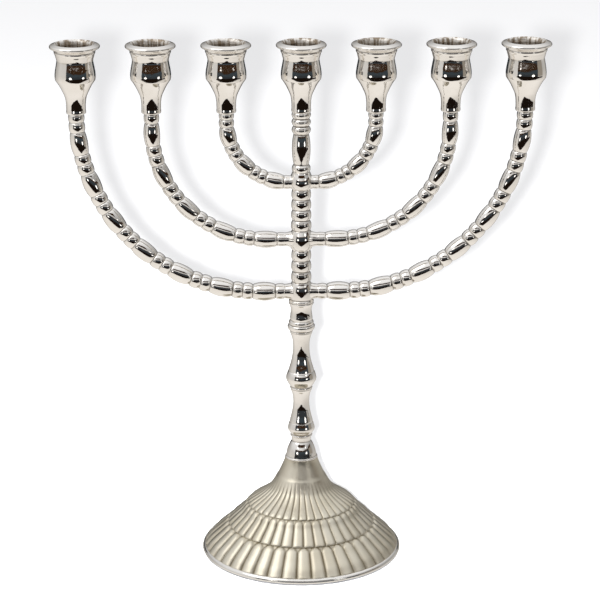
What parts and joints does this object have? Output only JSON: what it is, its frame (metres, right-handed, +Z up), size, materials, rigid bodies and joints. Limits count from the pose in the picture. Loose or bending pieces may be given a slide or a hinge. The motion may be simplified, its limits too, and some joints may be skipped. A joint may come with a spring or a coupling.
{
  "type": "seven-branch menorah",
  "caption": "Polished candelabrum with nested U-shaped beaded branches, flared candle cups in one row, a turned stem and a tiered fluted round foot.",
  "frame": {"origin": "centre of the underside, on the table", "axes": "+Z up along the stem, X along the row of cups, +Y away from the viewer"},
  "size_m": [0.277, 0.1148, 0.3],
  "materials": {
    "polished_nickel": "mirror-polished nickel plate, slightly warm",
    "satin_nickel": "satin nickel plate, polished on ridges and rim, darker in the grooves",
    "fastener_steel": "zinc-plated steel",
    "felt": "dense charcoal felt"
  },
  "bodies": {
    "stand": {"base_felt": "felt", "base_shell": "satin_nickel", "tie_washer": "fastener_steel", "tie_nut": "fastener_steel", "tie_rod": "fastener_steel", "stem_bell": "polished_nickel", "lower_baluster": "polished_nickel", "upper_baluster": "polished_nickel", "stem_collar": "polished_nickel", "lower_spacer": "polished_nickel", "upper_spacer": "polished_nickel", "centre_stem_top": "polished_nickel", "centre_stud": "fastener_steel"},
    "outer_branch": {"outer_branch": "polished_nickel", "outer_branch_studs": "fastener_steel"},
    "middle_branch": {"middle_branch": "polished_nickel", "middle_branch_studs": "fastener_steel"},
    "inner_branch": {"inner_branch": "polished_nickel", "inner_branch_studs": "fastener_steel"},
    "cup_1": {"candle_cup_1": "polished_nickel"},
    "cup_2": {"candle_cup_2": "polished_nickel"},
    "cup_3": {"candle_cup_3": "polished_nickel"},
    "cup_4": {"candle_cup_4": "polished_nickel"},
    "cup_5": {"candle_cup_5": "polished_nickel"},
    "cup_6": {"candle_cup_6": "polished_nickel"},
    "cup_7": {"candle_cup_7": "polished_nickel"}
  },
  "joints": [
    {"name": "outer_branch_swivel", "type": "hinge", "parent": "stand", "child": "outer_branch", "pos_m": [0, 0, 0.15652], "axis": [0, 0, 1], "continuous": true},
    {"name": "middle_branch_swivel", "type": "hinge", "parent": "stand", "child": "middle_branch", "pos_m": [0, 0, 0.18716], "axis": [0, 0, 1], "continuous": true},
    {"name": "inner_branch_swivel", "type": "hinge", "parent": "stand", "child": "inner_branch", "pos_m": [0, 0, 0.22038], "axis": [0, 0, 1], "continuous": true},
    {"name": "cup_1_unscrew", "type": "hinge", "parent": "outer_branch", "child": "cup_1", "pos_m": [-0.1245, 0, 0.26064], "axis": [0, 0, 1], "continuous": true},
    {"name": "cup_2_unscrew", "type": "hinge", "parent": "middle_branch", "child": "cup_2", "pos_m": [-0.083, 0, 0.26064], "axis": [0, 0, 1], "continuous": true},
    {"name": "cup_3_unscrew", "type": "hinge", "parent": "inner_branch", "child": "cup_3", "pos_m": [-0.0415, 0, 0.26064], "axis": [0, 0, 1], "continuous": true},
    {"name": "cup_4_unscrew", "type": "hinge", "parent": "stand", "child": "cup_4", "pos_m": [0, 0, 0.26064], "axis": [0, 0, 1], "continuous": true},
    {"name": "cup_5_unscrew", "type": "hinge", "parent": "inner_branch", "child": "cup_5", "pos_m": [0.0415, 0, 0.26064], "axis": [0, 0, 1], "continuous": true},
    {"name": "cup_6_unscrew", "type": "hinge", "parent": "middle_branch", "child": "cup_6", "pos_m": [0.083, 0, 0.26064], "axis": [0, 0, 1], "continuous": true},
    {"name": "cup_7_unscrew", "type": "hinge", "parent": "outer_branch", "child": "cup_7", "pos_m": [0.1245, 0, 0.26064], "axis": [0, 0, 1], "continuous": true}
  ]
}
